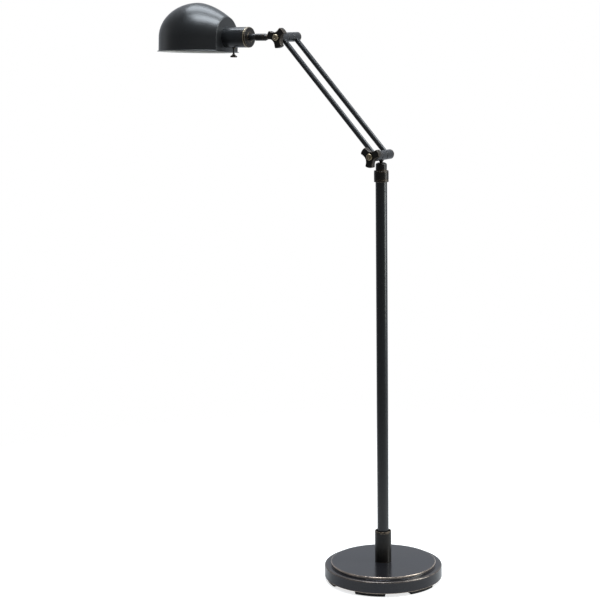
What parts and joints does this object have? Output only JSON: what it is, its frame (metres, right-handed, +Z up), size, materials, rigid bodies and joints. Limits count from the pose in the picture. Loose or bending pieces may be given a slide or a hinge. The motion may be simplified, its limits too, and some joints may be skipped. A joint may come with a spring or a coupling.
{
  "type": "pharmacy floor lamp",
  "caption": "Adjustable reading floor lamp with a weighted round base, straight pole, twin-rod swing arm with clamp knobs and a half-dome metal shade.",
  "frame": {"origin": "on the pole's axis at floor level; the claim is measured at the centre of the bottom cover, 4.5 mm above it", "axes": "+Z up along the pole; the arm and the head reach towards -X; both hinge axes run along Y with the clamp knobs on the -Y side"},
  "size_m": [0.7068, 0.2625, 1.2696],
  "materials": {
    "bronze": "oil-rubbed bronze lacquer, satin, near black",
    "dark_bronze": "oil-rubbed bronze on cast pieces, browner and duller",
    "shade_bronze": "spun shade, satin lacquer outside and white enamel inside",
    "worn_brass": "rubbed bronze worn back to a dull brass",
    "brass": "plain brass",
    "steel": "zinc-plated steel",
    "iron": "rough casting",
    "rubber": "matte black",
    "fibre": "black felt-faced board",
    "ceramic": "glazed insulator",
    "plastic": "black moulding",
    "bulb_glass": "frosted inside"
  },
  "bodies": {
    "stand": {"base_shell": "bronze", "base_weight": "iron", "bottom_cover": "fibre", "foot_pad_1": "rubber", "foot_pad_2": "rubber", "foot_pad_3": "rubber", "foot_pad_4": "rubber", "foot_pad_5": "rubber", "foot_pad_6": "rubber", "threaded_tube": "steel", "base_washer": "steel", "base_nut": "steel", "cord_bushing": "plastic", "base_collar": "dark_bronze", "pole_base_insert": "steel", "pole_tube": "bronze", "pole_top_plug": "steel", "swivel_bush": "brass", "top_collar": "dark_bronze", "pole_wire": "plastic"},
    "swivel": {"swivel_cap": "dark_bronze", "swivel_nut": "steel", "lower_knuckle": "bronze"},
    "arm": {"lower_near_barrel": "bronze", "lower_far_barrel": "bronze", "lower_near_washer": "steel", "lower_far_washer": "steel", "lower_end_cap": "dark_bronze", "near_rod": "bronze", "far_rod": "bronze", "upper_near_barrel": "bronze", "upper_far_barrel": "bronze", "upper_near_washer": "steel", "upper_far_washer": "steel", "upper_end_cap": "dark_bronze"},
    "lower_knob": {"lower_clamp_knob": "dark_bronze", "lower_knob_button": "worn_brass", "lower_clamp_screw": "steel"},
    "upper_knob": {"upper_clamp_knob": "dark_bronze", "upper_knob_button": "worn_brass", "upper_clamp_screw": "steel"},
    "neck": {"upper_knuckle": "bronze", "neck_nut": "steel"},
    "head": {"swivel_coupler": "dark_bronze", "neck_tube": "bronze", "socket_end_cap": "dark_bronze", "socket_ring": "worn_brass", "socket_cup": "bronze", "socket_insulator": "ceramic", "screw_shell": "brass", "centre_contact": "brass", "bulb_base": "steel", "bulb_glass": "bulb_glass", "switch_housing": "plastic", "switch_bush": "dark_bronze", "shade": "shade_bronze", "shade_ring": "steel"},
    "switch": {"switch_stem": "bronze", "switch_knob": "dark_bronze"}
  },
  "joints": [
    {"name": "arm_swivel", "type": "hinge", "parent": "stand", "child": "swivel", "pos_m": [0, 0, 0.905], "axis": [0, 0, 1], "range_deg": [-170, 170]},
    {"name": "arm_tilt", "type": "hinge", "parent": "swivel", "child": "arm", "pos_m": [0, 0, 0.9413], "axis": [0, 1, 0], "range_deg": [-60, 40]},
    {"name": "lower_knob_turn", "type": "hinge", "parent": "arm", "child": "lower_knob", "pos_m": [0, -0.04, 0.9413], "axis": [0, 1, 0], "range_deg": [-180, 180]},
    {"name": "upper_knob_turn", "type": "hinge", "parent": "arm", "child": "upper_knob", "pos_m": [-0.23315, -0.04, 1.19196], "axis": [0, 1, 0], "range_deg": [-180, 180]},
    {"name": "head_tilt", "type": "hinge", "parent": "arm", "child": "neck", "pos_m": [-0.23315, 0, 1.19196], "axis": [0, 1, 0], "range_deg": [-75, 80]},
    {"name": "head_roll", "type": "hinge", "parent": "neck", "child": "head", "pos_m": [-0.3, 0, 1.19196], "axis": [1, 0, 0], "range_deg": [-150, 150]},
    {"name": "switch_turn", "type": "hinge", "parent": "head", "child": "switch", "pos_m": [-0.37715, -0.0027, 1.15009], "axis": [0, -0.0645, -0.9979], "continuous": true}
  ]
}
